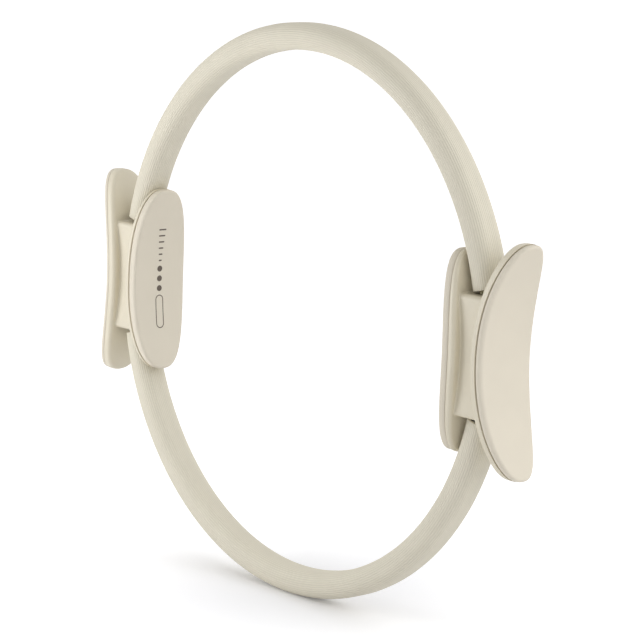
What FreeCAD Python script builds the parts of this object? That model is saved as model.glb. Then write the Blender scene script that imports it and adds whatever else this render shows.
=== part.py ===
import FreeCAD, Part
import math
import os

Vector = FreeCAD.Vector
os.makedirs("parts", exist_ok=True)

# Hoop, upright in the XZ plane with its axis along Y
ring_radius = 172.0
sleeve_thickness = 17.0
sleeve_width = 21.2
sleeve_corner = 7.6
sleeve_wall = 1.8
strip_thickness = 2.0
strip_width = 12.0
strip_end_gap = 1.5
strip_count = 3

# Flanges and pads, with the distance of their backs from the circle of the ring
inner_back_offset = 11.4
inner_back_radius = 195.0
inner_bow_radius = 241.2
inner_length = 121.0
inner_width = 42.2
inner_flange_thickness = 4.4
inner_flange_edge = 2.4
inner_pad_thickness = 6.3
inner_pad_edge = 1.8
outer_back_offset = 0.9
outer_bow_radius = 137.0
outer_length = 138.0
outer_width = 41.6
outer_flange_thickness = 5.2
outer_flange_edge = 3.0
outer_pad_thickness = 4.5
outer_pad_edge = 2.6
pad_margin = 0.3
pad_foot_inset = 1.2
pad_foot_height = 0.5
oval_round_share = 0.8
oval_points = 48

# Neck between the flanges, parted in a plane across X
neck_height = 72.0
neck_width = 31.0
neck_corner = 2.6
neck_fillet = 0.8
neck_wall = 2.2
neck_parting_offset = 4.0
mouth_gap = 0.6

# Keeper, bolts and nuts inside the handles
keeper_thickness = 3.0
keeper_length = 62.0
bolt_diameter = 4.0
bolt_head_diameter = 7.0
bolt_head_height = 2.0
bolt_seat_depth = 3.0
bolt_tip_inset = 0.2
bolt_spacing = 44.0
boss_diameter = 9.0
nut_width = 7.0
nut_thickness = 3.0
nut_seat_depth = 3.5

# Room between faces of neighbouring pieces, and how far a cut runs past them
clearance = 0.3
overrun = 30.0

stack_thickness = strip_count * strip_thickness + (strip_count - 1) * clearance
stack_inner = ring_radius - stack_thickness / 2
stack_outer = ring_radius + stack_thickness / 2
keeper_outer = stack_inner - clearance
inner_back = ring_radius - inner_back_offset
inner_back_axis = inner_back - inner_back_radius
inner_axis = inner_back - inner_bow_radius
outer_back = ring_radius + outer_back_offset
outer_axis = outer_back + outer_bow_radius
neck_parting = ring_radius - neck_parting_offset
keeper_inner = keeper_outer - keeper_thickness
neck_inner_floor = math.sqrt(keeper_inner ** 2 - (keeper_length / 2) ** 2) - clearance
neck_outer_floor = stack_outer + clearance
bolt_seat = inner_back - bolt_seat_depth
nut_seat = outer_back + nut_seat_depth
bolt_tip = nut_seat + nut_thickness - bolt_tip_inset
sleeve_inner = ring_radius - sleeve_thickness / 2
sleeve_start = math.asin((neck_height / 2 + mouth_gap) / sleeve_inner)


# Basic forms

def cylinder_along_y(x, radius, width):
    """A cylinder along Y, centred on the ring's plane, with its axis at x."""
    return Part.makeCylinder(radius, width, Vector(x, -width / 2, 0), Vector(0, 1, 0))


def cylinder_along_x(start, end, y, z, diameter):
    """A cylinder along X from start to end."""
    return Part.makeCylinder(diameter / 2, end - start, Vector(start, y, z), Vector(1, 0, 0))


def hexagon(start, end, z, width):
    """A hexagonal prism along X, flat to flat along Y."""
    reach = width / math.sqrt(3)
    points = []
    for step in range(7):
        turn = math.radians(60 * step)
        points.append(Vector(start, reach * math.sin(turn), z + reach * math.cos(turn)))
    return Part.Face(Part.makePolygon(points)).extrude(Vector(end - start, 0, 0))


def band(inner_radius, outer_radius, width):
    """A flat band bent into a closed circle round the ring axis."""
    return cylinder_along_y(0, outer_radius, width).cut(cylinder_along_y(0, inner_radius, width))


def rounded_face(centre, u, v, length_u, length_v, corner):
    """A rectangle with round corners, in the plane of the unit vectors u and v."""
    flat_u = length_u / 2 - corner
    flat_v = length_v / 2 - corner
    arcs = []
    for quarter, (sign_u, sign_v) in enumerate([(1, 1), (-1, 1), (-1, -1), (1, -1)]):
        middle = centre + u * (sign_u * flat_u) + v * (sign_v * flat_v)
        turns = [math.radians(90 * quarter + part) for part in (0, 45, 90)]
        points = [middle + u * (corner * math.cos(t)) + v * (corner * math.sin(t)) for t in turns]
        arcs.append(points)
    edges = []
    for points, following in zip(arcs, arcs[1:] + arcs[:1]):
        edges.append(Part.Arc(points[0], points[1], points[2]).toShape())
        edges.append(Part.LineSegment(points[2], following[0]).toShape())
    return Part.Face(Part.Wire(edges))


def oval_face(x, length, width):
    """A full oval across X, its length along Z. A round share of one would make it an ellipse."""
    points = []
    for step in range(oval_points):
        turn = 2 * math.pi * (step + 0.5) / oval_points
        side = math.copysign(abs(math.sin(turn)) ** oval_round_share, math.sin(turn))
        rise = math.copysign(abs(math.cos(turn)) ** oval_round_share, math.cos(turn))
        points.append(Vector(x, side * width / 2, rise * length / 2))
    curve = Part.BSplineCurve()
    curve.interpolate(Points=points, PeriodicFlag=True)
    span = curve.LastParameter - curve.FirstParameter
    ends = [curve.FirstParameter + span * quarter / 4 for quarter in range(5)]
    edges = [curve.toShape(first, last) for first, last in zip(ends, ends[1:])]
    return Part.Face(Part.Wire(edges))


def ring_tube(thickness, width, corner):
    """A rounded section swept once round the ring axis."""
    section = rounded_face(Vector(ring_radius, 0, 0), Vector(1, 0, 0), Vector(0, 1, 0),
                           thickness, width, corner)
    return section.revolve(Vector(0, 0, 0), Vector(0, 1, 0), 360)


def neck_block(start, end, inset):
    """A block along X with the neck's outline, drawn in by inset all round."""
    outline = rounded_face(Vector(start, 0, 0), Vector(0, 1, 0), Vector(0, 0, 1),
                           neck_width - 2 * inset, neck_height - 2 * inset, neck_corner - inset)
    return outline.extrude(Vector(end - start, 0, 0))


def bowed_layer(outline, back_axis, back_radius, face_axis, face_radius):
    """The part of an oval column between two cylinders round Y axes, at its back and at its face."""
    column = outline.extrude(Vector(back_radius + face_radius, 0, 0))
    width = column.BoundBox.YLength + overrun
    curved = column.common(cylinder_along_y(back_axis, back_radius, width))
    return curved.cut(cylinder_along_y(face_axis, face_radius, width))


def edges_at(shape, axis, radius, half_y, half_z):
    """Edges on a cylinder round a Y axis that stay inside a window, or all of them with no window."""
    found = []
    for edge in shape.Edges:
        points = edge.discretize(5)
        if any(abs(math.hypot(p.x - axis, p.z) - radius) > clearance / 100 for p in points):
            continue
        if half_y and any(abs(p.y) > half_y or abs(p.z) > half_z for p in points):
            continue
        found.append(edge)
    return found


def turned(shape, axis):
    """A copy turned half way round an axis through the origin."""
    copy = shape.copy()
    copy.rotate(Vector(0, 0, 0), axis, 180)
    return copy


# Places of the bolts

bolt_heights = [-bolt_spacing / 2, bolt_spacing / 2]
bolt_hole = bolt_diameter + 2 * clearance


# Hoop

def strip(number):
    """One flat strip, cut across at a handle and drilled for the bolts of both handles."""
    inner_radius = stack_inner + number * (strip_thickness + clearance)
    bent = band(inner_radius, inner_radius + strip_thickness, strip_width)
    side = 1 if number % 2 else -1
    cut_corner = Vector(side * ring_radius - overrun, -strip_width, -strip_end_gap / 2)
    bent = bent.cut(Part.makeBox(2 * overrun, 2 * strip_width, strip_end_gap, cut_corner))
    for z in bolt_heights:
        hole = cylinder_along_x(bolt_seat, bolt_tip, 0, z, bolt_hole)
        bent = bent.cut(hole).cut(turned(hole, Vector(0, 0, 1)))
    return bent


def above_handles(shape):
    """The part of a closed ring between square cuts just above the two handles."""
    reach = ring_radius + overrun
    rise = reach * math.tan(sleeve_start)
    corners = [(0, 0), (reach, rise), (reach, reach), (-reach, reach), (-reach, rise), (0, 0)]
    wedge = Part.Face(Part.makePolygon([Vector(x, -overrun, z) for x, z in corners]))
    return shape.common(wedge.extrude(Vector(0, 2 * overrun, 0)))


def stack_room():
    """The room that the strips pass through, with clearance all round."""
    return band(stack_inner - clearance, stack_outer + clearance, strip_width + 2 * clearance)


def sleeve():
    """Upper cover tube."""
    outside = ring_tube(sleeve_thickness, sleeve_width, sleeve_corner)
    bore = ring_tube(sleeve_thickness - 2 * sleeve_wall, sleeve_width - 2 * sleeve_wall,
                     sleeve_corner - sleeve_wall)
    return above_handles(outside.cut(bore))


def filler():
    """Upper foam tube between the strips and the cover."""
    inset = sleeve_wall + clearance
    outside = ring_tube(sleeve_thickness - 2 * inset, sleeve_width - 2 * inset, sleeve_corner - inset)
    return above_handles(outside.cut(stack_room()))


# Right handle

def flange(outline, back_axis, back_radius, face_axis, face_radius, edge):
    """Bowed oval plate with its back edge rounded."""
    plate = bowed_layer(outline, back_axis, back_radius, face_axis, face_radius)
    return plate.makeFillet(edge, edges_at(plate, back_axis, back_radius, 0, 0))


def with_neck(plate, block, back_axis, back_radius, thickness):
    """A flange joined to its half of the neck, with a fillet all round the joint."""
    root = cylinder_along_y(back_axis, back_radius - thickness / 2, neck_width + overrun)
    shell = plate.fuse(block.cut(root))
    seam = edges_at(shell, back_axis, back_radius, neck_width / 2 + clearance, neck_height / 2 + clearance)
    return shell.makeFillet(neck_fillet, seam)


def inner_shell():
    """Inner flange with the inner half of the hollow neck and a post round each bolt."""
    outline = oval_face(inner_axis, inner_length, inner_width)
    plate = flange(outline, inner_back_axis, inner_back_radius, inner_axis,
                   inner_bow_radius - inner_flange_thickness, inner_flange_edge)
    block = neck_block(inner_back - overrun, neck_parting, 0)
    shell = with_neck(plate, block, inner_back_axis, inner_back_radius, inner_flange_thickness)
    shell = shell.cut(neck_block(neck_inner_floor, neck_parting, neck_wall))
    post_reach = (bolt_spacing + boss_diameter) / 2
    post_top = math.sqrt(keeper_inner ** 2 - post_reach ** 2) - clearance
    for z in bolt_heights:
        shell = shell.fuse(cylinder_along_x(neck_inner_floor, post_top, 0, z, boss_diameter))
    shell = shell.cut(stack_room())
    for z in bolt_heights:
        shell = shell.cut(cylinder_along_x(bolt_seat, neck_parting, 0, z, bolt_hole))
        recess = bolt_head_diameter + 2 * clearance
        shell = shell.cut(cylinder_along_x(bolt_seat - overrun, bolt_seat, 0, z, recess))
    return shell.removeSplitter()


def outer_shell():
    """Outer flange with the outer half of the hollow neck, bolt bosses and pockets for the nuts."""
    outline = oval_face(outer_back - outer_bow_radius, outer_length, outer_width)
    plate = flange(outline, outer_axis, outer_bow_radius, outer_axis,
                   outer_bow_radius - outer_flange_thickness, outer_flange_edge)
    block = neck_block(neck_parting, outer_back + overrun, 0)
    shell = with_neck(plate, block, outer_axis, outer_bow_radius, outer_flange_thickness)
    shell = shell.cut(neck_block(neck_parting, neck_outer_floor, neck_wall))
    for z in bolt_heights:
        shell = shell.fuse(cylinder_along_x(neck_parting, neck_outer_floor, 0, z, boss_diameter))
    shell = shell.cut(stack_room())
    for z in bolt_heights:
        shell = shell.cut(cylinder_along_x(neck_parting, nut_seat, 0, z, bolt_hole))
        shell = shell.cut(hexagon(nut_seat, nut_seat + overrun, z, nut_width + 2 * clearance))
    return shell.removeSplitter()


def pad(start, axis, seat_radius, length, width, thickness, edge):
    """Soft pad on a narrower foot, so that a fine groove stays open above the flange."""
    foot_outline = oval_face(start, length - 2 * pad_foot_inset, width - 2 * pad_foot_inset)
    body_outline = oval_face(start, length - 2 * pad_margin, width - 2 * pad_margin)
    body_radius = seat_radius - pad_foot_height
    face_radius = seat_radius - thickness
    foot = bowed_layer(foot_outline, axis, seat_radius, axis, body_radius)
    body = bowed_layer(body_outline, axis, body_radius, axis, face_radius)
    body = body.makeFillet(edge, edges_at(body, axis, face_radius, 0, 0))
    return body.fuse(foot).removeSplitter()


def inner_pad():
    """Pad that faces the middle of the ring."""
    seat_radius = inner_bow_radius - inner_flange_thickness - clearance
    return pad(inner_axis, inner_axis, seat_radius, inner_length, inner_width,
               inner_pad_thickness, inner_pad_edge)


def outer_pad():
    """Pad that faces away from the ring."""
    seat_radius = outer_bow_radius - outer_flange_thickness - clearance
    return pad(outer_back - outer_bow_radius, outer_axis, seat_radius, outer_length, outer_width,
               outer_pad_thickness, outer_pad_edge)


def keeper():
    """Curved bar that presses the strips outwards, as wide as the hollow, drilled for the bolts."""
    width = neck_width - 2 * neck_wall - 2 * clearance
    bar = band(keeper_inner, keeper_outer, width)
    corner = Vector(0, -neck_width, -keeper_length / 2)
    bar = bar.common(Part.makeBox(ring_radius, 2 * neck_width, keeper_length, corner))
    for z in bolt_heights:
        bar = bar.cut(cylinder_along_x(bolt_seat, bolt_tip, 0, z, bolt_hole))
    return bar


def bolts():
    """Bolts from under the inner pad through keeper and strips into the nuts."""
    solids = []
    for z in bolt_heights:
        head = cylinder_along_x(bolt_seat - bolt_head_height, bolt_seat, 0, z, bolt_head_diameter)
        solids.append(head.fuse(cylinder_along_x(bolt_seat, bolt_tip, 0, z, bolt_diameter)))
    return Part.makeCompound(solids)


def nuts():
    """Hexagon nuts in their pockets under the outer pad."""
    solids = []
    for z in bolt_heights:
        nut = hexagon(nut_seat, nut_seat + nut_thickness, z, nut_width)
        solids.append(nut.cut(cylinder_along_x(nut_seat, nut_seat + overrun, 0, z, bolt_hole)))
    return Part.makeCompound(solids)


# Build and export

pieces = {}
for number, name in enumerate(["inner_strip", "middle_strip", "outer_strip"]):
    pieces[name] = strip(number)
for name, make in [("filler", filler), ("sleeve", sleeve)]:
    pieces["upper_" + name] = make()
    pieces["lower_" + name] = turned(pieces["upper_" + name], Vector(1, 0, 0))
for make in (inner_shell, outer_shell, inner_pad, outer_pad, keeper, bolts, nuts):
    pieces["right_" + make.__name__] = make()
    pieces["left_" + make.__name__] = turned(pieces["right_" + make.__name__], Vector(0, 0, 1))
for name, shape in pieces.items():
    print(name, len(shape.Solids), shape.isValid(), round(shape.Volume), shape.BoundBox)
    shape.exportStep("parts/" + name + ".step")
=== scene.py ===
import math

import bpy
import numpy as np
from mathutils import Matrix, Vector


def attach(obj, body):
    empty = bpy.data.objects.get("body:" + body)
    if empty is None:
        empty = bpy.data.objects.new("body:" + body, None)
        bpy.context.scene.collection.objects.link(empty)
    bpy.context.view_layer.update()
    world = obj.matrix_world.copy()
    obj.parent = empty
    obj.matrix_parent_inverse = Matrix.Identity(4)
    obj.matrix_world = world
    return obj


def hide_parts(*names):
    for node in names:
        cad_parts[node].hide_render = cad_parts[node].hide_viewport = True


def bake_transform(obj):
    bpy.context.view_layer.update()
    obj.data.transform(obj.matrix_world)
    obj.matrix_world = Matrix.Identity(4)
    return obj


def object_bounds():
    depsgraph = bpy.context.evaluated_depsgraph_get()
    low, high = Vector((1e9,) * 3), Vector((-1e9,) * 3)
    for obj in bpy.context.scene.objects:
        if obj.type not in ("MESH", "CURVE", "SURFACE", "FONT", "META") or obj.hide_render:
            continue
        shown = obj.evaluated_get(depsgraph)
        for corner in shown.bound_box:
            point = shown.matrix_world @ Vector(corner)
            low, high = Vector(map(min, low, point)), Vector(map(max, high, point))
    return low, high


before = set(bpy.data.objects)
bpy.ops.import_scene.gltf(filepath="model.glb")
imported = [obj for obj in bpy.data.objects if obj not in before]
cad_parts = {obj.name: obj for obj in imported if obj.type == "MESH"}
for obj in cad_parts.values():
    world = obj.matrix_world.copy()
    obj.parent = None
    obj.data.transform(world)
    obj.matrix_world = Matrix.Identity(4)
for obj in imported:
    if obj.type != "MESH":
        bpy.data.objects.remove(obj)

bl_info = {
    "name": "Pilates ring",
    "version": (1, 0, 0),
    "blender": (4, 5, 0),
    "location": "3D View > Sidebar > Ring",
    "description": "Dresses a pilates ring with ribbed covers, soft pads, printed marks and a studio stage",
    "category": "Object",
}

cad_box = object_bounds()

SIDES = {"right": 1, "left": -1}
LEVELS = {"upper": 1, "lower": -1}
STRIPS = ("inner", "middle", "outer")
WHITE = (1.0, 1.0, 1.0, 1.0)

# How finely the surfaces are divided
RIB_POINTS, COVER_STEPS = 8, 64
FOAM_POINTS, FOAM_STEPS = 96, 48
STRIP_POINTS, STRIP_STEPS = 40, 96
PAD_POINTS, PAD_FACE_ROWS, PAD_EDGE_ROWS = 240, 26, 10
DOT_POINTS, LOOP_POINTS, TICK_POINTS = 48, 160, 40

# Share of its outline to which a pad or a printed mark shrinks before one face closes it
PAD_POLE, PRINT_POLE = 0.02, 0.05

# Where the lamps stand, in metres from the middle of the ring. Of a sun only the direction counts.
SUNS = {"top": (0.5, 0.3, 1.0), "back": (0.7, 0.7, 0.5)}
PANELS = {"left": (-0.5, -0.6, 0.12), "right": (0.85, -0.05, 0.25)}


# Properties

def linear(code):
    """Linear colour of an sRGB hex code.

    A channel c becomes c / 12.92 near black, and ((c + 0.055) / 1.055) ^ 2.4 elsewhere.
    """
    channels = np.array([int(code[first:first + 2], 16) for first in (1, 3, 5)]) / 255
    curved = ((channels + 0.055) / 1.055) ** 2.4
    return tuple(np.where(channels <= 0.04045, channels / 12.92, curved).tolist())


def number(name, description, default, **settings):
    """A number, such as a share or the strength of a lamp."""
    return bpy.props.FloatProperty(name=name, description=description, default=default, **settings)


def length(name, description, default):
    """A size in metres."""
    return number(name, description, default, unit="LENGTH", precision=5)


def angle(name, description, degrees):
    """An angle, given in degrees."""
    return number(name, description, math.radians(degrees), subtype="ANGLE")


def colour(name, description, code):
    """A colour, given as sRGB hex."""
    return bpy.props.FloatVectorProperty(name=name, description=description, default=linear(code),
                                         subtype="COLOR", size=3, min=0.0, max=1.0)


class HoopSizes(bpy.types.PropertyGroup):
    """Sizes of the hoop: covers, foam and strips."""
    ring_radius: length("Ring radius", "From the ring axis to the middle of the tube", 0.172)
    cover_thickness: length("Cover thickness", "Tube size along the radius", 0.017)
    cover_width: length("Cover width", "Tube size along the ring axis", 0.0212)
    cover_corner: length("Cover corner", "Rounding of the tube's section", 0.0076)
    cover_wall: length("Cover wall", "Wall of the extruded cover", 0.0018)
    cover_start: length("Cover start", "Height of the square cut end, at the inner edge of the tube", 0.0366)
    cover_lip: length("Cover lip", "Softened edge of the cut end", 0.0003)
    rib_pitch: length("Rib pitch", "Distance from one fine rib to the next", 0.0014)
    rib_depth: length("Rib depth", "Depth of the valleys between the ribs", 0.0002)
    room: length("Room", "Space between neighbouring pieces", 0.0003)
    strip_thickness: length("Strip thickness", "Thickness of one flat strip", 0.002)
    strip_width: length("Strip width", "Width of the strips along the ring axis", 0.012)
    strip_edge: length("Strip edge", "Rounding of the strips' edges", 0.0003)
    strip_gap: length("Strip gap", "Gap between the two ends of a strip", 0.0015)


class PadSizes(bpy.types.PropertyGroup):
    """Sizes of the soft pads and of the print on them."""
    inner_seat: length("Inner seat", "From the ring axis to the underside of the inner pad", 0.1559)
    inner_bow: length("Inner bow", "Bow radius of the inner pad's underside", 0.2365)
    inner_length: length("Inner length", "Length of the inner flange", 0.121)
    inner_width: length("Inner width", "Width of the inner flange", 0.0422)
    inner_thickness: length("Inner pad thickness", "Thickness of the inner pad", 0.0063)
    inner_edge: length("Inner pad edge", "Rounding of the inner pad's edge", 0.0018)
    outer_seat: length("Outer seat", "From the ring axis to the underside of the outer pad", 0.1784)
    outer_bow: length("Outer bow", "Bow radius of the outer pad's underside", 0.1315)
    outer_length: length("Outer length", "Length of the outer flange", 0.138)
    outer_width: length("Outer width", "Width of the outer flange", 0.0416)
    outer_thickness: length("Outer pad thickness", "Thickness of the outer pad", 0.0045)
    outer_edge: length("Outer pad edge", "Rounding of the outer pad's edge", 0.0026)
    margin: length("Margin", "How far the pad stays inside the flange's outline", 0.0003)
    foot_inset: length("Foot inset", "How far the foot stays inside the flange's outline", 0.0012)
    foot_height: length("Foot height", "Height of the groove under the pad", 0.0005)
    under_round: length("Under round", "Rounding of the pad's edge above the groove", 0.0003)
    round_share: number("Round share", "One makes the outline an ellipse, less makes it fuller", 0.8,
                        subtype="FACTOR", min=0.3, max=1.0)
    dot_diameter: length("Dot diameter", "Printed dots", 0.004)
    dot_spacing: length("Dot spacing", "From one printed dot to the next", 0.0066)
    loop_length: length("Loop length", "Length of the printed empty loop", 0.0217)
    loop_width: length("Loop width", "Width of the printed empty loop", 0.0057)
    loop_height: length("Loop height", "Middle of the loop below the middle dot", 0.0222)
    line_width: length("Line width", "Width of printed lines", 0.0006)
    tick_length: length("Tick length", "Length of the longest tick of the scale", 0.0058)
    tick_spacing: length("Tick spacing", "From one tick of the scale to the next", 0.0042)
    tick_start: length("Tick start", "First tick above the middle dot", 0.0122)
    ink_lift: length("Ink lift", "How far the print stands on the pad", 0.00006)


class RingColours(bpy.types.PropertyGroup):
    """Colours of the ring's materials and of the floor."""
    cover: colour("Cover", "Ribbed covers of the hoop", "#DED8C6")
    pad: colour("Pad", "Soft pads", "#DBD3C2")
    shell: colour("Shell", "Moulded flanges and necks", "#D9D1BC")
    ink: colour("Ink", "Printed marks", "#5B5148")
    foam: colour("Foam", "Foam under the covers", "#4A4A4A")
    fibreglass: colour("Fibreglass", "Spring strips", "#C9C29A")
    keeper: colour("Keeper", "Bars inside the handles", "#1E1E1F")
    steel: colour("Steel", "Bolts and nuts", "#B9BABB")
    floor: colour("Floor", "Studio floor", "#F6F6F8")


class StageSettings(bpy.types.PropertyGroup):
    """Camera, lamps and floor."""
    azimuth: angle("Azimuth", "Turn of the camera round the ring", 49.83)
    elevation: angle("Elevation", "Camera above the horizon", 9.62)
    roll: angle("Roll", "Turn of the camera about its own axis", 2.06)
    distance: length("Distance", "From the camera to the middle of the ring", 1.6512)
    aim_right: length("Aim right", "Aim to the right of the middle of the ring", 0.01111)
    aim_up: length("Aim up", "Aim above the middle of the ring", -0.0047)
    lens: number("Lens", "Focal length in millimetres", 148.2, subtype="DISTANCE_CAMERA")
    ambient: number("Ambient", "Light from all round", 0.37)
    top: number("Top", "Broad soft light from above", 0.85)
    back: number("Back", "Broad soft light from the right, behind the ring", 0.65)
    sun_width: angle("Sun width", "Angle over which a broad light is spread", 90)
    left: number("Left", "Lamp panel in front of the left handle, in watts", 2.9, subtype="POWER")
    right: number("Right", "Lamp panel beside the right handle, in watts", 1.3, subtype="POWER")
    panel_size: length("Panel size", "Side of a lamp panel", 0.5)
    floor_size: length("Floor size", "Side of the floor", 16.0)
    floor_glow: number("Floor glow", "Lifts the floor to white for the camera", 0.45)
    # Painted shadow: the lower glow where the ring stands darkens the floor there
    painted_shadow_glow: number("Near glow", "What is left of that where the ring stands, so that its shadow shows", 0.08)
    painted_shadow_reach: length("Glow reach", "From where the ring stands to where the floor's glow is full", 0.22)


# Surfaces

def rounded_outline(thickness, width, corner, count):
    """A rounded rectangle at even steps along its outline: points and outward normals.

    The normal's angle and the centre of the corner change in straight lines with the length run so far, so
    interpolation gives them for all steps. Each point lies one corner radius from its centre, along the normal.
    """
    flat_u = thickness / 2 - corner
    flat_v = width / 2 - corner
    bend = corner * math.pi / 2
    marks = np.cumsum([0, flat_v, bend, 2 * flat_u, bend, 2 * flat_v, bend, 2 * flat_u, bend, flat_v])
    quarters = np.array([0, 0, 1, 1, 2, 2, 3, 3, 4, 4])
    centres_u = flat_u * np.array([1, 1, 1, -1, -1, -1, -1, 1, 1, 1])
    centres_v = flat_v * np.array([0, 1, 1, 1, 1, -1, -1, -1, -1, 0])
    run = marks[-1] * np.arange(count) / count
    turn = np.interp(run, marks, quarters) * math.pi / 2
    normals = np.stack([np.cos(turn), np.sin(turn)], -1)
    centres = np.stack([np.interp(run, marks, centres_u), np.interp(run, marks, centres_v)], -1)
    return centres + corner * normals, normals


def outline_length(thickness, width, corner):
    """Length of a rounded rectangle: its flats and four quarter circles."""
    return 2 * (thickness + width) - 8 * corner + 2 * math.pi * corner


def swept(radius, section, first, last, steps):
    """A section (along the radius, along the axis) carried round the ring axis between two angles.

    A point's distance from the axis is the ring's radius plus its place along the radius, and stays the same.
    """
    turn = np.linspace(first, last, steps)[:, None]
    reach = radius + section[:, 0]
    along = np.broadcast_to(section[:, 1], (steps, len(section)))
    return np.stack([reach * np.cos(turn), along, reach * np.sin(turn)], -1)


def quarter_tube(hoop, outside, normals, inside, steps):
    """A quarter of a tube wall from its square cut end to the top of the ring, closed at both ends.

    The rows run up the outside and back down the inside, and the cut end has a small softened lip. The cut lies
    in a plane through the ring axis, at the angle whose sine is the cut's height over the inner edge's radius.
    """
    start = math.asin(hoop.cover_start / (hoop.ring_radius - hoop.cover_thickness / 2))
    softened = start + hoop.cover_lip / hoop.ring_radius
    lip = swept(hoop.ring_radius, outside - hoop.cover_lip * normals, start, start, 1)
    up = swept(hoop.ring_radius, outside, softened, math.pi / 2, steps)
    down = swept(hoop.ring_radius, inside, math.pi / 2, start, steps)
    return np.concatenate([lip, up, down])


def bowed(seat, bow, sense, height, y, z):
    """Points at a height above a bowed seat: the distance from the bow's axis is its radius less the height."""
    axis = seat - sense * bow
    x = axis + sense * np.sqrt((bow - height) ** 2 - z ** 2)
    return np.stack([x, np.broadcast_to(y, x.shape), z], -1)


def loops(share, inset, height):
    """Rows of share, inset and height for the loops of a pad. A single value holds for all loops."""
    return np.stack(np.broadcast_arrays(share, inset, height), -1)


def pad_surface(pad, seat, bow, sense, size, thickness, edge):
    """A pad as loops from the middle of its face over the round edge and the groove to its underside's middle.

    Every loop is a superellipse, drawn in by an inset and scaled by a share, at a height above the pad's seat.
    The round edge is a quarter circle in inset and height.
    """
    turn = 2 * math.pi * np.arange(PAD_POINTS) / PAD_POINTS
    across = np.sign(np.sin(turn)) * np.abs(np.sin(turn)) ** pad.round_share
    along = np.sign(np.cos(turn)) * np.abs(np.cos(turn)) ** pad.round_share
    spread = np.linspace(PAD_POLE, 1, PAD_FACE_ROWS)
    bend = np.linspace(0, math.pi / 2, PAD_EDGE_ROWS)[1:]
    groove = pad.foot_height
    rows = np.concatenate([
        loops(spread, pad.margin + edge, thickness),
        loops(1, pad.margin + edge * (1 - np.sin(bend)), thickness - edge * (1 - np.cos(bend))),
        loops(1, [pad.margin, pad.margin + pad.under_round, pad.foot_inset, pad.foot_inset],
              [groove + pad.under_round, groove, groove, 0]),
        loops(spread[::-1][1:], pad.foot_inset, 0),
    ])
    share, inset, height = rows.T[:, :, None]
    y = share * (size[1] / 2 - inset) * across
    z = share * (size[0] / 2 - inset) * along
    return bowed(seat, bow, sense, height, y, z)


def inner_face(pad, lift, y, z):
    """Points on the face of the inner pad, lifted off it towards the middle of the ring."""
    return bowed(pad.inner_seat, pad.inner_bow, 1, pad.inner_thickness + lift, y, z)


def printed_patch(pad, outline, height):
    """A filled mark: its outline shrinks to its middle on top and underneath, a hair off the pad's face."""
    share = np.array([PRINT_POLE, 1.0, 1.0, PRINT_POLE])[:, None]
    lift = np.array([1.0, 1.0, -1.0, -1.0])[:, None] * pad.ink_lift
    return inner_face(pad, lift, share * outline[None, :, 1], height + share * outline[None, :, 0])


def printed_line(pad, outline, normals, height):
    """A closed printed line: a flat band along the outline, half its width to each side."""
    offset = np.array([-0.5, 0.5, 0.5, -0.5])[:, None] * pad.line_width
    lift = np.array([1.0, 1.0, -1.0, -1.0])[:, None] * pad.ink_lift
    return inner_face(pad, lift, outline[None, :, 1] + offset * normals[None, :, 1],
                      height + outline[None, :, 0] + offset * normals[None, :, 0])


# Pieces

def grid_faces(rows, columns, closed):
    """Quads between neighbours in a grid whose columns close, and whose rows close where it is closed."""
    row = np.arange(rows if closed else rows - 1)[:, None]
    column = np.arange(columns)[None, :]
    above = (row + 1) % rows
    beside = (column + 1) % columns
    corners = [row * columns + column, row * columns + beside, above * columns + beside, above * columns + column]
    return np.stack(np.broadcast_arrays(*corners), -1).reshape(-1, 4)


def add_piece(name, grids, material, sharp=60.0, attribute=None):
    """One closed mesh at the origin from grids of points, each with a flag that says whether its rows close.

    Open grids get a face over each end. A grid whose signed volume, the sum of its faces' triple products, is
    negative has its rows turned round, so that faces point outwards. Edges over the sharp angle, in degrees,
    stay crisp. An attribute is a name and one value for each point.
    """
    points, faces, base = [], [], 0
    for grid, closed in grids:
        rows, columns = grid.shape[:2]
        quads = grid_faces(rows, columns, closed)
        flat = grid.reshape(-1, 3) - grid.reshape(-1, 3).mean(0)
        a, b, c, d = (flat[quads[:, corner]] for corner in range(4))
        volume = np.einsum("ij,ij->", a, np.cross(b, c)) + np.einsum("ij,ij->", a, np.cross(c, d))
        ends = [] if closed else [np.arange(columns)[::-1], (rows - 1) * columns + np.arange(columns)]
        order = 1 if volume > 0 else -1
        faces += (quads[:, ::order] + base).tolist()
        faces += [(end[::order] + base).tolist() for end in ends]
        points.append(grid.reshape(-1, 3))
        base += rows * columns
    mesh = bpy.data.meshes.new(name)
    mesh.from_pydata(np.concatenate(points).tolist(), [], faces)
    mesh.polygons.foreach_set("use_smooth", np.ones(len(mesh.polygons), dtype=bool))
    mesh.set_sharp_from_angle(angle=math.radians(sharp))
    if attribute:
        layer = mesh.attributes.new(attribute[0], "FLOAT", "POINT")
        layer.data.foreach_set("value", attribute[1].ravel().astype(np.float32))
    mesh.materials.append(material)
    piece = bpy.data.objects.new(name, mesh)
    bpy.context.scene.collection.objects.link(piece)
    return piece


def bend_with_handle(piece):
    """Bakes the placement of a piece of the hoop into its mesh."""
    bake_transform(piece)


def add_quarters(hoop, kind, node, slot, tube, material, **finish):
    """The four quarters of the hoop's cover or foam, mirrored from one, each with its placement baked into its
    mesh.
    """
    for level, up in LEVELS.items():
        for side, out in SIDES.items():
            grid = tube * np.array([out, 1, up])
            piece = add_piece(f"{level}_{kind}_{side}", [(grid, True)], material, **finish)
            bend_with_handle(piece)
            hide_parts(f"{level}_{node}")


def dress(material, *names):
    """Gives CAD nodes their material."""
    for name in names:
        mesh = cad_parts[name].data
        mesh.materials.clear()
        mesh.materials.append(material)


# Materials

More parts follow.
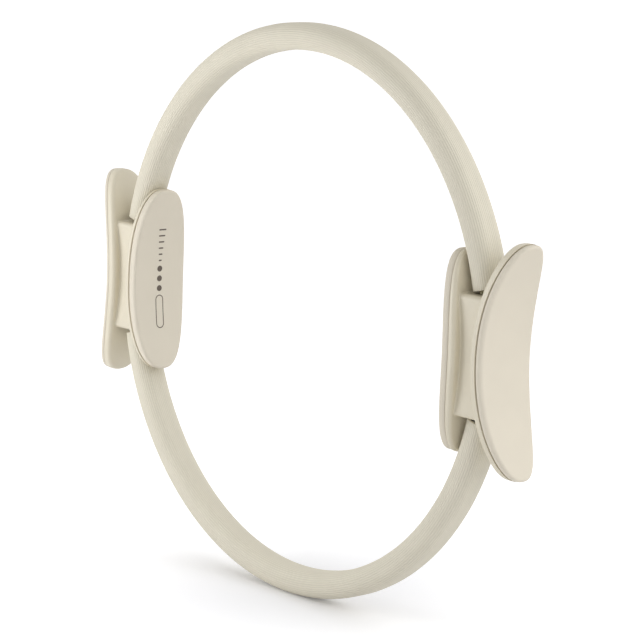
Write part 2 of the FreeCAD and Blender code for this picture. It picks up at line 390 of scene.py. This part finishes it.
def add_node(tree, kind, sockets, **settings):
    """Adds a node, sets its properties, and gives its sockets values or links from other nodes' outputs."""
    node = tree.nodes.new(kind)
    for key, value in settings.items():
        setattr(node, key, value)
    for key, value in sockets.items():
        if isinstance(value, bpy.types.NodeSocket):
            tree.links.new(value, node.inputs[key])
        else:
            node.inputs[key].default_value = value
    return node


def per_metre(millimetres):
    """Scale of a pattern whose features are that many millimetres across."""
    return 1000.0 / millimetres


def rgba(value, factor=1.0):
    """A colour of a property group as four numbers, made lighter or darker by a factor."""
    return (*[min(channel * factor, 1.0) for channel in value], 1.0)


def new_material(name):
    """An empty node material, its tree and its object coordinates."""
    material = bpy.data.materials.new(name)
    material.use_nodes = True
    tree = material.node_tree
    tree.nodes.clear()
    return material, tree, add_node(tree, "ShaderNodeTexCoord", {}).outputs["Object"]


def ribbed_rubber(base):
    """Extruded thermoplastic rubber. Fine ribs run along the tube, painted shade darkens their valleys, the skin
    is silky.
    """
    material, tree, place = new_material("ribbed thermoplastic rubber, extruded")
    cloud = add_node(tree, "ShaderNodeTexNoise", {"Vector": place, "Scale": per_metre(14), "Detail": 3.0})
    even = add_node(tree, "ShaderNodeMix", {
        "Factor": cloud.outputs["Fac"], "A": rgba(base, 0.965), "B": rgba(base, 1.03)}, data_type="RGBA")
    # Painted shade: the colour is pulled towards a darker copy of itself in the valleys between the ribs, where
    # shade falls
    valley = add_node(tree, "ShaderNodeAttribute", {}, attribute_name="valley")
    shade = add_node(tree, "ShaderNodeMath", {0: valley.outputs["Fac"], 1: 0.25}, operation="MULTIPLY")
    tint = add_node(tree, "ShaderNodeMix", {
        "Factor": shade.outputs[0], "A": even.outputs["Result"], "B": rgba(base, 0.5)}, data_type="RGBA")
    # The real grain is about 0.2 mm and is drawn at 0.7 mm so that it shows
    grain = add_node(tree, "ShaderNodeTexNoise", {"Vector": place, "Scale": per_metre(0.7), "Detail": 2.0})
    bump = add_node(tree, "ShaderNodeBump", {
        "Height": grain.outputs["Fac"], "Strength": 0.12, "Distance": 0.0002})
    skin = add_node(tree, "ShaderNodeBsdfPrincipled", {
        "Base Color": tint.outputs["Result"], "Roughness": 0.6, "IOR": 1.5, "Normal": bump.outputs["Normal"]})
    add_node(tree, "ShaderNodeOutputMaterial", {"Surface": skin.outputs["BSDF"]})
    return material


def moulded_rubber(base):
    """Moulded soft rubber. It is matt with a fine even grain, and a little cloudy."""
    material, tree, place = new_material("soft thermoplastic rubber, moulded matt")
    cloud = add_node(tree, "ShaderNodeTexNoise", {"Vector": place, "Scale": per_metre(22), "Detail": 4.0})
    tint = add_node(tree, "ShaderNodeMix", {
        "Factor": cloud.outputs["Fac"], "A": rgba(base, 0.96), "B": rgba(base, 1.04)}, data_type="RGBA")
    # The real grain is about 0.15 mm and is drawn at 0.8 mm so that it shows
    grain = add_node(tree, "ShaderNodeTexNoise", {"Vector": place, "Scale": per_metre(0.8), "Detail": 3.0})
    bump = add_node(tree, "ShaderNodeBump", {
        "Height": grain.outputs["Fac"], "Strength": 0.18, "Distance": 0.0002})
    rough = add_node(tree, "ShaderNodeMapRange", {"Value": cloud.outputs["Fac"], "To Min": 0.55, "To Max": 0.68})
    skin = add_node(tree, "ShaderNodeBsdfPrincipled", {
        "Base Color": tint.outputs["Result"], "Roughness": rough.outputs["Result"], "IOR": 1.5,
        "Normal": bump.outputs["Normal"]})
    add_node(tree, "ShaderNodeOutputMaterial", {"Surface": skin.outputs["BSDF"]})
    return material


def satin_plastic(name, base, grain_size, roughness):
    """Hard plastic from a spark-eroded mould. It is satin, and a fine sandy grain breaks up its highlights."""
    material, tree, place = new_material(name)
    cloud = add_node(tree, "ShaderNodeTexNoise", {"Vector": place, "Scale": per_metre(18), "Detail": 3.0})
    tint = add_node(tree, "ShaderNodeMix", {
        "Factor": cloud.outputs["Fac"], "A": rgba(base, 0.97), "B": rgba(base, 1.03)}, data_type="RGBA")
    # The real grain is about 0.1 mm, and its size here is coarser so that it shows
    grain = add_node(tree, "ShaderNodeTexNoise", {
        "Vector": place, "Scale": per_metre(grain_size), "Detail": 2.0})
    bump = add_node(tree, "ShaderNodeBump", {
        "Height": grain.outputs["Fac"], "Strength": 0.1, "Distance": 0.00015})
    rough = add_node(tree, "ShaderNodeMapRange", {
        "Value": grain.outputs["Fac"], "To Min": roughness - 0.05, "To Max": roughness + 0.05})
    skin = add_node(tree, "ShaderNodeBsdfPrincipled", {
        "Base Color": tint.outputs["Result"], "Roughness": rough.outputs["Result"], "IOR": 1.53,
        "Normal": bump.outputs["Normal"]})
    add_node(tree, "ShaderNodeOutputMaterial", {"Surface": skin.outputs["BSDF"]})
    return material


def printed_ink(base):
    """Pad-printed ink. It is flat and dull, a little thinner in places."""
    material, tree, place = new_material("pad printing ink, dull")
    patch = add_node(tree, "ShaderNodeTexNoise", {"Vector": place, "Scale": per_metre(1.2), "Detail": 2.0})
    tint = add_node(tree, "ShaderNodeMix", {
        "Factor": patch.outputs["Fac"], "A": rgba(base, 0.85), "B": rgba(base, 1.25)}, data_type="RGBA")
    skin = add_node(tree, "ShaderNodeBsdfPrincipled", {
        "Base Color": tint.outputs["Result"], "Roughness": 0.65, "IOR": 1.5})
    add_node(tree, "ShaderNodeOutputMaterial", {"Surface": skin.outputs["BSDF"]})
    return material


def cellular_foam(base):
    """Closed-cell foam. Cut cells make it pitted and dull."""
    material, tree, place = new_material("closed-cell foam, cut")
    cells = add_node(tree, "ShaderNodeTexVoronoi", {"Vector": place, "Scale": per_metre(0.9)})
    tint = add_node(tree, "ShaderNodeMix", {
        "Factor": cells.outputs["Distance"], "A": rgba(base, 0.75), "B": rgba(base, 1.2)}, data_type="RGBA")
    bump = add_node(tree, "ShaderNodeBump", {
        "Height": cells.outputs["Distance"], "Strength": 0.5, "Distance": 0.0003})
    skin = add_node(tree, "ShaderNodeBsdfPrincipled", {
        "Base Color": tint.outputs["Result"], "Roughness": 0.9, "IOR": 1.45, "Normal": bump.outputs["Normal"]})
    add_node(tree, "ShaderNodeOutputMaterial", {"Surface": skin.outputs["BSDF"]})
    return material


def drawn_fibreglass(base):
    """Pultruded fibreglass. Glass threads draw fine streaks along the strip under a clear resin gloss."""
    material, tree, place = new_material("fibreglass, pultruded")
    across = add_node(tree, "ShaderNodeSeparateXYZ", {"Vector": place})
    thread = add_node(tree, "ShaderNodeCombineXYZ", {"Y": across.outputs["Y"]})
    streaks = add_node(tree, "ShaderNodeTexNoise", {
        "Vector": thread.outputs["Vector"], "Scale": per_metre(0.5), "Detail": 3.0})
    tint = add_node(tree, "ShaderNodeMix", {
        "Factor": streaks.outputs["Fac"], "A": rgba(base, 0.75), "B": rgba(base, 1.2)}, data_type="RGBA")
    skin = add_node(tree, "ShaderNodeBsdfPrincipled", {
        "Base Color": tint.outputs["Result"], "Roughness": 0.3, "IOR": 1.55})
    add_node(tree, "ShaderNodeOutputMaterial", {"Surface": skin.outputs["BSDF"]})
    return material


def plated_steel(base):
    """Zinc-plated steel. It is a bright metal with a slightly uneven, soft reflection."""
    material, tree, place = new_material("steel, zinc plated")
    cloud = add_node(tree, "ShaderNodeTexNoise", {"Vector": place, "Scale": per_metre(1.5), "Detail": 4.0})
    tint = add_node(tree, "ShaderNodeMix", {
        "Factor": cloud.outputs["Fac"], "A": rgba(base, 0.9), "B": rgba(base, 1.08)}, data_type="RGBA")
    rough = add_node(tree, "ShaderNodeMapRange", {"Value": cloud.outputs["Fac"], "To Min": 0.28, "To Max": 0.42})
    skin = add_node(tree, "ShaderNodeBsdfPrincipled", {
        "Base Color": tint.outputs["Result"], "Metallic": 1.0, "Roughness": rough.outputs["Result"]})
    add_node(tree, "ShaderNodeOutputMaterial", {"Surface": skin.outputs["BSDF"]})
    return material


def seen_rays(tree):
    """One for rays that the camera, metal or glass send out, and zero for those that carry light to the ring."""
    path = add_node(tree, "ShaderNodeLightPath", {})
    direct = add_node(tree, "ShaderNodeMath", {
        0: path.outputs["Is Camera Ray"], 1: path.outputs["Is Glossy Ray"]}, operation="MAXIMUM")
    seen = add_node(tree, "ShaderNodeMath", {
        0: direct.outputs[0], 1: path.outputs["Is Transmission Ray"]}, operation="MAXIMUM")
    return seen.outputs[0]


def studio_floor(base, stage):
    """Matt white studio floor. The camera sees it turn into a white backdrop, and the ring's shadow stays on it.

    Its glow rises smoothly with the level distance from where the ring stands: the dimmer glow near the ring is
    painted shadow, which deepens the ring's cast shadow there.
    """
    material, tree, place = new_material("studio floor, matt")
    level = add_node(tree, "ShaderNodeVectorMath", {0: place, 1: (1.0, 1.0, 0.0)}, operation="MULTIPLY")
    away = add_node(tree, "ShaderNodeVectorMath", {0: level.outputs["Vector"]}, operation="LENGTH")
    # Painted shadow: the floor's glow is turned down around where the ring stands, so the floor looks darker
    # there than the lamps make it
    glow_with_painted_shadow = add_node(tree, "ShaderNodeMapRange", {
        "Value": away.outputs["Value"], "From Min": 0.0, "From Max": stage.painted_shadow_reach,
        "To Min": stage.painted_shadow_glow, "To Max": stage.floor_glow}, interpolation_type="SMOOTHSTEP")
    lift = add_node(tree, "ShaderNodeMath", {0: seen_rays(tree), 1: glow_with_painted_shadow.outputs["Result"]}, operation="MULTIPLY")
    paint = add_node(tree, "ShaderNodeBsdfDiffuse", {"Color": rgba(base)})
    light = add_node(tree, "ShaderNodeEmission", {"Strength": lift.outputs[0]})
    both = add_node(tree, "ShaderNodeAddShader", {0: paint.outputs["BSDF"], 1: light.outputs["Emission"]})
    add_node(tree, "ShaderNodeOutputMaterial", {"Surface": both.outputs["Shader"]})
    return material


# Stage

def add_floor(scene, stage):
    """A square floor at the height of the ring's lowest point."""
    half, height = stage.floor_size / 2, cad_box[0][2]
    corners = [(-half, -half, height), (half, -half, height), (half, half, height), (-half, half, height)]
    mesh = bpy.data.meshes.new("floor")
    mesh.from_pydata(corners, [], [(0, 1, 2, 3)])
    mesh.materials.append(studio_floor(scene.ring_colours.floor, stage))
    floor = bpy.data.objects.new("floor", mesh)
    scene.collection.objects.link(floor)


def add_world(scene, stage):
    """Even light from all round, which the camera sees as white."""
    world = bpy.data.worlds.new("studio")
    world.use_nodes = True
    tree = world.node_tree
    tree.nodes.clear()
    light = add_node(tree, "ShaderNodeBackground", {"Color": WHITE, "Strength": stage.ambient})
    white = add_node(tree, "ShaderNodeBackground", {"Color": WHITE, "Strength": 1.0})
    both = add_node(tree, "ShaderNodeMixShader", {0: seen_rays(tree), 1: light.outputs[0], 2: white.outputs[0]})
    add_node(tree, "ShaderNodeOutputWorld", {"Surface": both.outputs[0]})
    scene.world = world


def add_camera(scene, stage):
    """The photograph's view: from an azimuth and elevation, aimed a little beside the middle, and rolled."""
    across = Vector((math.cos(stage.azimuth), math.sin(stage.azimuth), 0))
    towards = Vector((math.sin(stage.azimuth) * math.cos(stage.elevation),
                      -math.cos(stage.azimuth) * math.cos(stage.elevation), math.sin(stage.elevation)))
    eye = stage.distance * towards
    aim = stage.aim_right * across + stage.aim_up * towards.cross(across)
    look = (aim - eye).normalized()
    right = look.cross(Vector((0, 0, 1))).normalized()
    up = right.cross(look)
    turned_right = math.cos(stage.roll) * right + math.sin(stage.roll) * up
    turned_up = math.cos(stage.roll) * up - math.sin(stage.roll) * right
    lens = bpy.data.cameras.new("camera")
    lens.sensor_fit = "HORIZONTAL"
    lens.sensor_width = 36.0
    lens.lens = stage.lens
    camera = bpy.data.objects.new("camera", lens)
    camera.matrix_world = Matrix.Translation(eye) @ Matrix((turned_right, turned_up, -look)).transposed().to_4x4()
    scene.collection.objects.link(camera)
    scene.camera = camera


def add_lamp(scene, name, kind, strength, place):
    """A lamp at a place, turned to the middle of the ring."""
    light = bpy.data.lights.new(name, kind)
    light.energy = strength
    lamp = bpy.data.objects.new(name, light)
    lamp.location = place
    lamp.rotation_euler = Vector(place).to_track_quat("Z", "Y").to_euler()
    scene.collection.objects.link(lamp)
    return light


# Operators

class RING_OT_covers(bpy.types.Operator):
    """Ribbed covers of the hoop, in quarters"""
    bl_idname = "ring.covers"
    bl_label = "Ribbed covers"

    def execute(self, context):
        hoop = context.scene.ring_hoop
        material = ribbed_rubber(context.scene.ring_colours.cover)
        sizes = (hoop.cover_thickness, hoop.cover_width, hoop.cover_corner)
        ribs = round(outline_length(*sizes) / hoop.rib_pitch)
        count = ribs * RIB_POINTS
        smooth, normals = rounded_outline(*sizes, count)
        # A rib's height is a rectified sine to the power 0.8, which gives full round crests and narrow valleys
        crest = np.abs(np.sin(math.pi * np.arange(count) / RIB_POINTS)) ** 0.8
        outside = smooth - (hoop.rib_depth * (1 - crest))[:, None] * normals
        inside = smooth - hoop.cover_wall * normals
        tube = quarter_tube(hoop, outside, normals, inside, COVER_STEPS)
        # The rows of the lip and the outside have valleys, and so painted shade; those of the inside have none
        valley = np.concatenate([np.tile(1 - crest, (COVER_STEPS + 1, 1)), np.zeros((COVER_STEPS, count))])
        add_quarters(hoop, "cover", "sleeve", "ribbed_cover", tube, material, sharp=80.0,
                     attribute=("valley", valley))
        return {"FINISHED"}


class RING_OT_foam(bpy.types.Operator):
    """Foam between the strips and the covers"""
    bl_idname = "ring.foam"
    bl_label = "Foam"

    def execute(self, context):
        hoop = context.scene.ring_hoop
        material = cellular_foam(context.scene.ring_colours.foam)
        inset = hoop.cover_wall + hoop.room
        stack = len(STRIPS) * hoop.strip_thickness + (len(STRIPS) + 1) * hoop.room
        outside, normals = rounded_outline(hoop.cover_thickness - 2 * inset, hoop.cover_width - 2 * inset,
                                           hoop.cover_corner - inset, FOAM_POINTS)
        inside = rounded_outline(stack, hoop.strip_width + 2 * hoop.room, hoop.strip_edge, FOAM_POINTS)[0]
        tube = quarter_tube(hoop, outside, normals, inside, FOAM_STEPS)
        add_quarters(hoop, "foam", "filler", "foam", tube, material)
        return {"FINISHED"}


class RING_OT_strips(bpy.types.Operator):
    """Spring strips of the hoop, in halves"""
    bl_idname = "ring.strips"
    bl_label = "Spring strips"

    def execute(self, context):
        hoop = context.scene.ring_hoop
        material = drawn_fibreglass(context.scene.ring_colours.fibreglass)
        section = rounded_outline(hoop.strip_thickness, hoop.strip_width, hoop.strip_edge, STRIP_POINTS)[0]
        quarter = math.pi / 2
        for layer, name in enumerate(STRIPS):
            radius = hoop.ring_radius + (layer - 1) * (hoop.strip_thickness + hoop.room)
            cut_side = "right" if name == "middle" else "left"
            end = math.asin(hoop.strip_gap / 2 / radius)
            for side, out in SIDES.items():
                spans = [(-quarter, -end), (end, quarter)] if side == cut_side else [(-quarter, quarter)]
                grids = [(swept(radius, section, *span, STRIP_STEPS) * np.array([out, 1, 1]), False)
                         for span in spans]
                piece = add_piece(f"{name}_strip_{side}", grids, material)
                bend_with_handle(piece)
                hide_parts(name + "_strip")
        return {"FINISHED"}


class RING_OT_pads(bpy.types.Operator):
    """Soft pads of both handles"""
    bl_idname = "ring.pads"
    bl_label = "Soft pads"

    def execute(self, context):
        pad = context.scene.ring_pads
        material = moulded_rubber(context.scene.ring_colours.pad)
        inner = pad_surface(pad, pad.inner_seat, pad.inner_bow, 1, (pad.inner_length, pad.inner_width),
                            pad.inner_thickness, pad.inner_edge)
        outer = pad_surface(pad, pad.outer_seat, pad.outer_bow, -1, (pad.outer_length, pad.outer_width),
                            pad.outer_thickness, pad.outer_edge)
        for side, out in SIDES.items():
            for place, surface in (("inner", inner), ("outer", outer)):
                grid = surface * np.array([out, out, 1])
                piece = add_piece(f"{side}_{place}_soft_pad", [(grid, False)], material, sharp=50.0)
                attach(piece, side + "_handle")
                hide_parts(f"{side}_{place}_pad")
        return {"FINISHED"}


class RING_OT_marks(bpy.types.Operator):
    """Printed dots, an empty loop and a plain scale on the inner pads"""
    bl_idname = "ring.marks"
    bl_label = "Printed marks"

    def execute(self, context):
        pad = context.scene.ring_pads
        material = printed_ink(context.scene.ring_colours.ink)
        turn = 2 * math.pi * np.arange(DOT_POINTS) / DOT_POINTS
        dot = np.stack([np.cos(turn), np.sin(turn)], -1) * pad.dot_diameter / 2
        grids = [(printed_patch(pad, dot, step * pad.dot_spacing), False) for step in (-1, 0, 1)]
        # The loop's corner is a hair under half its width, so that its short flats keep a length
        loop, normals = rounded_outline(pad.loop_length, pad.loop_width, pad.loop_width * 0.499, LOOP_POINTS)
        grids.append((printed_line(pad, loop, normals, -pad.loop_height), True))
        # Six ticks grow from two fifths of the longest one, and are a little bolder than the loop's line
        for step, reach in enumerate(pad.tick_length * np.linspace(0.4, 1.0, 6)):
            bar = rounded_outline(pad.line_width * 1.6, reach, pad.line_width * 0.6, TICK_POINTS)[0]
            grids.append((printed_patch(pad, bar, pad.tick_start + step * pad.tick_spacing), False))
        for side, out in SIDES.items():
            turned = [(grid * np.array([out, out, 1]), closed) for grid, closed in grids]
            piece = add_piece(f"{side}_printed_marks", turned, material)
            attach(piece, side + "_handle")
        return {"FINISHED"}


class RING_OT_shells(bpy.types.Operator):
    """Plastic of the flanges and necks"""
    bl_idname = "ring.shells"
    bl_label = "Handle shells"

    def execute(self, context):
        material = satin_plastic("ABS, moulded satin", context.scene.ring_colours.shell, 0.6, 0.45)
        dress(material, *[f"{side}_{place}_shell" for side in SIDES for place in ("inner", "outer")])
        return {"FINISHED"}


class RING_OT_fastenings(bpy.types.Operator):
    """Keepers, bolts and nuts inside the handles"""
    bl_idname = "ring.fastenings"
    bl_label = "Fastenings"

    def execute(self, context):
        colours = context.scene.ring_colours
        nylon = satin_plastic("nylon with glass, moulded", colours.keeper, 0.4, 0.55)
        dress(nylon, *[side + "_keeper" for side in SIDES])
        dress(plated_steel(colours.steel), *[f"{side}_{kind}" for side in SIDES for kind in ("bolts", "nuts")])
        return {"FINISHED"}


class RING_OT_stage(bpy.types.Operator):
    """Floor, soft studio light and camera"""
    bl_idname = "ring.stage"
    bl_label = "Stage"

    def execute(self, context):
        scene = context.scene
        stage = scene.ring_stage
        scene.view_settings.view_transform = "Standard"
        add_floor(scene, stage)
        add_world(scene, stage)
        add_camera(scene, stage)
        for name, place in SUNS.items():
            sun = add_lamp(scene, name + " light", "SUN", getattr(stage, name), place)
            sun.angle = stage.sun_width
        for name, place in PANELS.items():
            panel = add_lamp(scene, name + " panel", "AREA", getattr(stage, name), place)
            panel.size = stage.panel_size
        return {"FINISHED"}


class RING_PT_panel(bpy.types.Panel):
    """Lists the ring's operators and settings"""
    bl_idname = "RING_PT_panel"
    bl_label = "Pilates ring"
    bl_space_type = "VIEW_3D"
    bl_region_type = "UI"
    bl_category = "Ring"

    def draw(self, context):
        for operator in OPERATORS:
            self.layout.operator(operator.bl_idname)
        for key, group in GROUPS.items():
            column = self.layout.column(align=True)
            for setting in group.__annotations__:
                column.prop(getattr(context.scene, key), setting)


GROUPS = {"ring_hoop": HoopSizes, "ring_pads": PadSizes, "ring_colours": RingColours, "ring_stage": StageSettings}
OPERATORS = (RING_OT_covers, RING_OT_foam, RING_OT_strips, RING_OT_pads, RING_OT_marks, RING_OT_shells,
             RING_OT_fastenings, RING_OT_stage)


def register():
    """Makes the classes known to Blender and hangs the settings on the scene."""
    for kind in (*GROUPS.values(), *OPERATORS, RING_PT_panel):
        bpy.utils.register_class(kind)
    for key, group in GROUPS.items():
        setattr(bpy.types.Scene, key, bpy.props.PointerProperty(type=group))


def unregister():
    """Takes the settings and the classes away again."""
    for key in GROUPS:
        delattr(bpy.types.Scene, key)
    for kind in (RING_PT_panel, *reversed(OPERATORS), *reversed(GROUPS.values())):
        bpy.utils.unregister_class(kind)


def main():
    """Registers the classes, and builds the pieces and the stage."""
    register()
    bpy.ops.ring.covers()
    bpy.ops.ring.foam()
    bpy.ops.ring.strips()
    bpy.ops.ring.pads()
    bpy.ops.ring.marks()
    bpy.ops.ring.shells()
    bpy.ops.ring.fastenings()
    bpy.ops.ring.stage()


if __name__ == "__main__":
    main()
